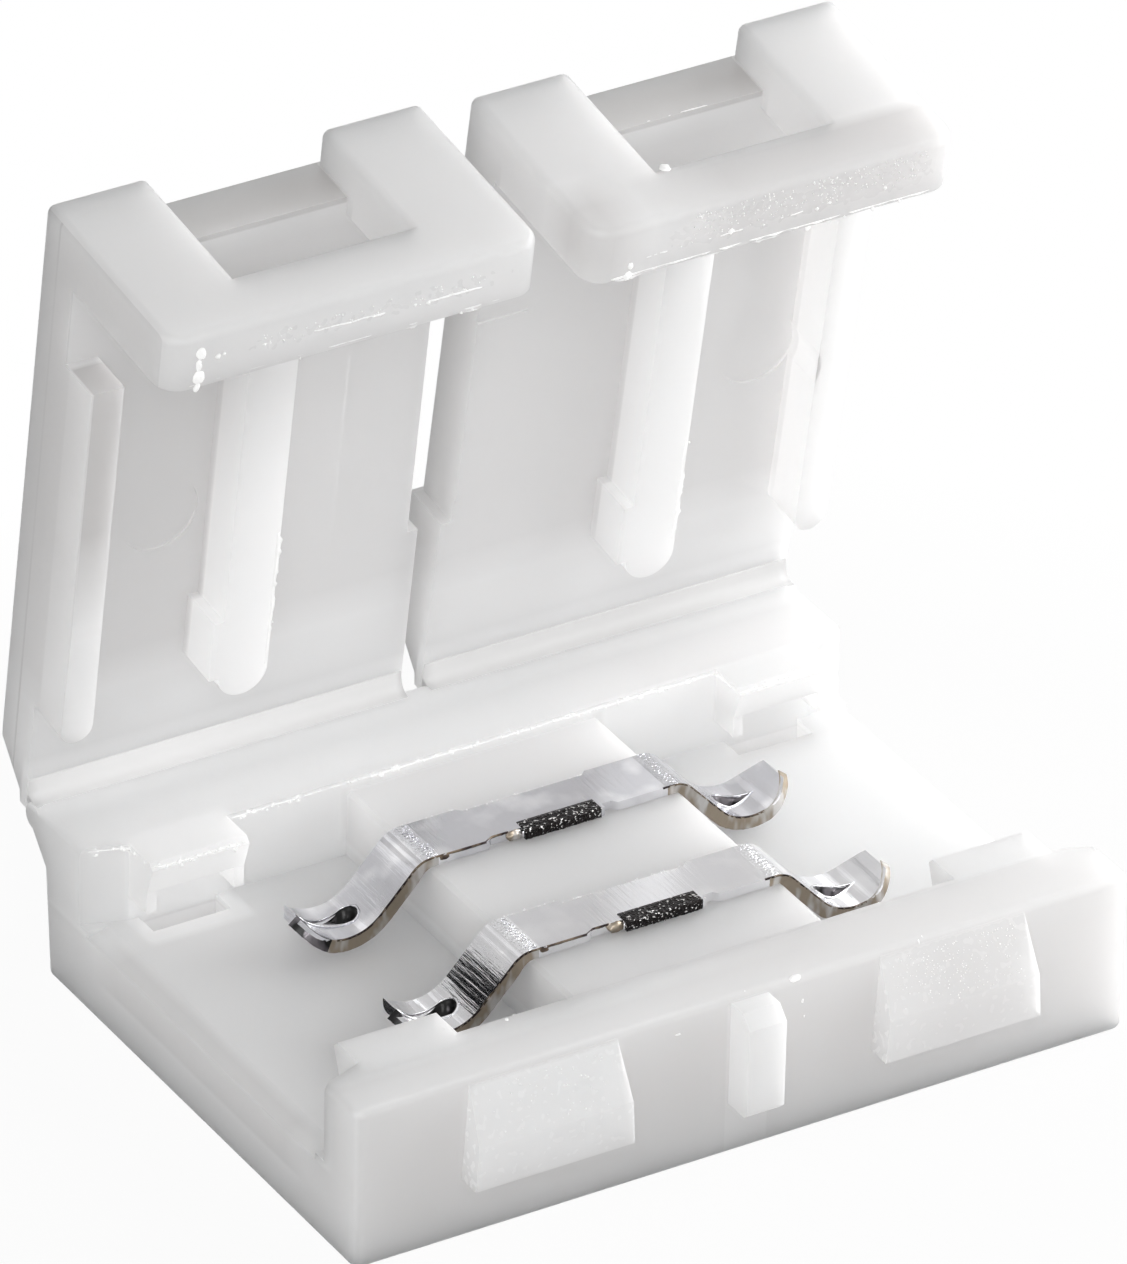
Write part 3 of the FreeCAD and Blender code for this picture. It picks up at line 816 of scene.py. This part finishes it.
def makeLine(name, lane):
    # The rolled corner between the two nicks, darkened with painted shade
    line, steps = waistLine, waistLine["steps"]
    draw = random.Random(name)
    points, faces = [], []
    for (startX, startY), (endX, endY) in zip(line["ends"], line["ends"][1:]):
        low = len(points)
        for step in range(steps + 1):
            x, y = startX + (endX - startX) * step / steps, startY + (endY - startY) * step / steps
            inner, outer = lane - y + line["sunk"], lane - y - line["out"]
            rough = draw.uniform(-line["rough"], line["rough"])
            points += [(x, inner, line["top"]), (x, outer, line["top"]),
                       (x, outer, line["bottom"] + rough), (x, inner, line["bottom"])]
        stretch = []
        ringFaces(stretch, steps + 1, 4, False)
        faces += [tuple(low + index for index in face) for face in stretch]
    addPiece(name, points, faces, corner, "base")


def makeBurr(name, lane, sizes, material, slot, lines):
    # Loose bright grains along straight lines from point to point
    draw = random.Random(name)
    points, faces = [], []
    for start, end, count, spread in lines:
        for index in range(count):
            place = Vector(start).lerp(Vector(end), draw.random())
            place += Vector([draw.gauss(0, width) for width in spread]) + Vector((0, lane, 0))
            addCrumb(points, faces, place, draw.uniform(*sizes), draw)
    addPiece(name, points, faces, material, "base")


nicks = {
    # name: place from the lane in millimetres, half sizes, material
    "nick": ((-0.82, -0.53, 3.115), (0.16, 0.07, 0.11), sheared),
    "nick_light": ((-0.68, -0.60, 3.13), (0.03, 0.02, 0.07), bright),
    # A dark lump in the rolled corner's painted shade, standing in for the shade in a notch
    "waist_nick": ((-2.33, -0.585, 3.15), (0.11, 0.03, 0.06), corner),
}
burrs = {
    # name: grain sizes, material, slot, lines of start, end, count and spread
    "shoulder_burr": ((0.008, 0.020), bright, "contact", [
        ((-2.52, -0.56, 3.215), (-2.52, 0.56, 3.215), 90, (0.045, 0.0, 0.002))]),
    "far_crumbs": ((0.010, 0.030), flash, "moulding", [
        ((-2.5, 0.62, 3.19), (-1.4, 0.62, 3.19), 16, (0.0, 0.012, 0.01)),
        ((-1.3, 0.52, 3.19), (1.3, 0.52, 3.19), 34, (0.0, 0.012, 0.01))]),
}


for laneName, lane in lanes.items():
    makeTornStub(laneName + "_torn_stub", lane)
    for sideName, side in (("left", -1), ("right", 1)):
        title = laneName + "_" + sideName + "_"
        makeEye(title + "eye", lane, side)
        for skinName, *skinSpec in sideSkins[sideName]:
            makeSide(title + skinName, lane, side, *skinSpec)
    makeLine(laneName + "_waist_line", lane)
    for nickName, ((x, y, z), sizes, material) in nicks.items():
        makeBead(laneName + "_" + nickName, "base", (x, lane + y, z), sizes, material, "contact")
    for burrName, spec in burrs.items():
        makeBurr(laneName + "_" + burrName, lane, *spec)
print("contacts: torn stubs, eyes, sides, nicks and burrs")


# The inside of each hinge: a fillet of thin web that bends between the tray's ledge and the lid
webs = {
    "left": {"low": -7.98, "high": -0.24, "lean": 0.0},
    "right": {"low": 0.24, "high": 7.98, "lean": -0.028},
}
# y, z in millimetres; the last points are inside the plastic
webCurve = [
    (5.95, 3.277), (6.03, 3.287), (6.10, 3.308), (6.16, 3.345), (6.205, 3.395), (6.232, 3.46),
    (6.248, 3.54), (6.257, 3.63), (6.272, 3.72), (6.34, 3.65), (6.38, 3.35), (6.30, 3.18), (6.0, 3.20),
]
webShape = {
    "steps": 40, "leanFrom": 3.3, "ripple": 0.006, "rippled": 8, "wave": (0.9, 0.3), "noiseLevel": 4,
}


def makeWeb(side):
    spec, shape = webs[side], webShape
    count, size = shape["steps"], len(webCurve)
    points, faces = [], []
    for step in range(count + 1):
        x = spec["low"] + (spec["high"] - spec["low"]) * step / count
        for index, (y, z) in enumerate(webCurve):
            spot = Vector((x * shape["wave"][0], index * shape["wave"][1], shape["noiseLevel"]))
            ripple = noise.noise(spot) * shape["ripple"] * (0 < index < shape["rippled"])
            points.append((x, y + spec["lean"] * max(0.0, z - shape["leanFrom"]) + ripple, z))
    ringFaces(faces, count + 1, size, False)
    piece = buildPiece(side + "_web", points, faces, web)
    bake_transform(piece)


for webSide in webs:
    makeWeb(webSide)
print("hinge webs on both lids")


# Stage: a pale floor that stays white to the camera, and soft light from the right and front
stage = {
    "size": 3.0, "floorColour": (0.82, 0.815, 0.812), "ambient": 0.12,
    "whiteness": 0.94, "whiteStretch": (20.0, 9000.0, 6.0),
}


def seenDirectly(graph):
    # 1 for rays from the camera, off gloss or through glass: those see the white backdrop
    rays = graph.make("ShaderNodeLightPath").socket.node.outputs
    camera, glossy, through = [Field(graph.tree, rays[name])
                               for name in ("Is Camera Ray", "Is Glossy Ray", "Is Transmission Ray")]
    return camera.maths("MAXIMUM", camera.maths("MAXIMUM", camera, glossy), through)


def makeFloor():
    mesh = bpy.data.meshes.new("floor")
    half = stage["size"] / 2
    corners = [(-half, -half, 0), (half, -half, 0), (half, half, 0), (-half, half, 0)]
    mesh.from_pydata(corners, [], [(0, 1, 2, 3)])
    floor = bpy.data.objects.new("floor", mesh)
    bpy.context.scene.collection.objects.link(floor)
    material, graph = newMaterial("floor_white")
    toCamera = seenDirectly(graph)
    plain = graph.make("ShaderNodeBsdfDiffuse", {}, {"Color": (*stage["floorColour"], 1)})
    white = graph.make("ShaderNodeEmission", {}, {"Color": (1, 1, 1, 1), "Strength": 1.0})
    place = placeInMm(graph)
    away = graph.make("ShaderNodeVectorMath", {"operation": "LENGTH"}, {"Vector": place}, "Value")
    shown = away.band(*stage["whiteStretch"]) * (1 - stage["whiteness"]) + stage["whiteness"]
    surface = graph.make("ShaderNodeMixShader", {}, {0: toCamera * shown, 1: plain, 2: white})
    finishMaterial(material, graph, surface)
    mesh.materials.append(material)


def makeWorld():
    world = bpy.data.worlds.new("studio")
    bpy.context.scene.world = world
    world.use_nodes = True
    world.node_tree.nodes.clear()
    graph = Field(world.node_tree)
    toCamera = seenDirectly(graph)
    soft = graph.make("ShaderNodeBackground", {}, {"Color": (1, 1, 1, 1), "Strength": stage["ambient"]})
    white = graph.make("ShaderNodeBackground", {}, {"Color": (1, 1, 1, 1), "Strength": 1.0})
    surface = graph.make("ShaderNodeMixShader", {}, {0: toCamera, 1: soft, 2: white})
    graph.make("ShaderNodeOutputWorld", {}, {"Surface": surface})


darkCard = {
    "centre": (-29 * mm, 30 * mm, 19 * mm), "size": 34 * mm, "lookAt": (-3.5 * mm, -1.75 * mm, 2.7 * mm),
    "colour": (0.01, 0.01, 0.012),
}


def makeDarkCard():
    # A black card behind the left side, seen only in the metal, as studios use for chrome
    centre = Vector(darkCard["centre"])
    toward = (Vector(darkCard["lookAt"]) - centre).normalized()
    across = toward.cross(Vector((0, 0, 1))).normalized() * darkCard["size"] / 2
    upward = across.cross(toward).normalized() * darkCard["size"] / 2
    mesh = bpy.data.meshes.new("dark_card")
    mesh.from_pydata([centre - across - upward, centre + across - upward, centre + across + upward,
                      centre - across + upward], [], [(0, 1, 2, 3)])
    card = bpy.data.objects.new("dark_card", mesh)
    bpy.context.scene.collection.objects.link(card)
    material, graph = newMaterial("card_black")
    black = graph.make("ShaderNodeBsdfDiffuse", {}, {"Color": (*darkCard["colour"], 1)})
    finishMaterial(material, graph, black)
    mesh.materials.append(material)
    card.visible_camera = card.visible_diffuse = card.visible_shadow = card.visible_transmission = False


lampAim = (0, 2 * mm, 6 * mm)
# Degrees, metres and watts; azimuth 0 stands a lamp on the -Y side, 90 on +X, 180 behind
lamps = {
    "right_low": {
        "azimuth": 90.0, "elevation": 25.0, "distance": 0.30, "size": 0.15, "watts": 0.170},
    "right_near": {
        "azimuth": 90.0, "elevation": 30.0, "distance": 0.05, "size": 0.04, "watts": 0.0100},
    "front_right_near": {
        "azimuth": 60.0, "elevation": 15.0, "distance": 0.045, "size": 0.03, "watts": 0.0059},
    "front_left_soft": {
        "azimuth": -30.0, "elevation": 30.0, "distance": 0.30, "size": 0.20, "watts": 0.416},
    "left_soft": {
        "azimuth": -90.0, "elevation": 20.0, "distance": 0.30, "size": 0.15, "watts": 0.112},
    "back_soft": {
        "azimuth": 150.0, "elevation": 35.0, "distance": 0.30, "size": 0.15, "watts": 0.056},
}


def makeLamp(name, spec):
    light = bpy.data.lights.new(name, "AREA")
    light.shape = "DISK"
    light.size = spec["size"]
    light.energy = spec["watts"]
    lamp = bpy.data.objects.new(name, light)
    turn, rise = math.radians(spec["azimuth"]), math.radians(spec["elevation"])
    away = Vector((math.sin(turn) * math.cos(rise), -math.cos(turn) * math.cos(rise), math.sin(rise)))
    lamp.location = Vector(lampAim) + away * spec["distance"]
    lamp.rotation_euler = away.to_track_quat("Z", "Y").to_euler()
    bpy.context.scene.collection.objects.link(lamp)


camera = {
    "position": (-110.513 * mm, -178.372 * mm, 135.885 * mm),
    "turnDegrees": (58.5873, -1.1668, -30.9172),
    "lensMm": 395.213, "sensorMm": 36.0, "clipStart": 0.02,
}


def makeCamera():
    data = bpy.data.cameras.new("camera")
    data.lens = camera["lensMm"]
    data.sensor_width = camera["sensorMm"]
    data.clip_start = camera["clipStart"]
    view = bpy.data.objects.new("camera", data)
    view.location = camera["position"]
    view.rotation_euler = [math.radians(angle) for angle in camera["turnDegrees"]]
    bpy.context.scene.collection.objects.link(view)
    bpy.context.scene.camera = view


makeFloor()
makeDarkCard()
makeWorld()
for lampName, lampSpec in lamps.items():
    makeLamp(lampName, lampSpec)
makeCamera()
bpy.context.scene.view_settings.view_transform = "Standard"
print("stage, lamps and camera ready")
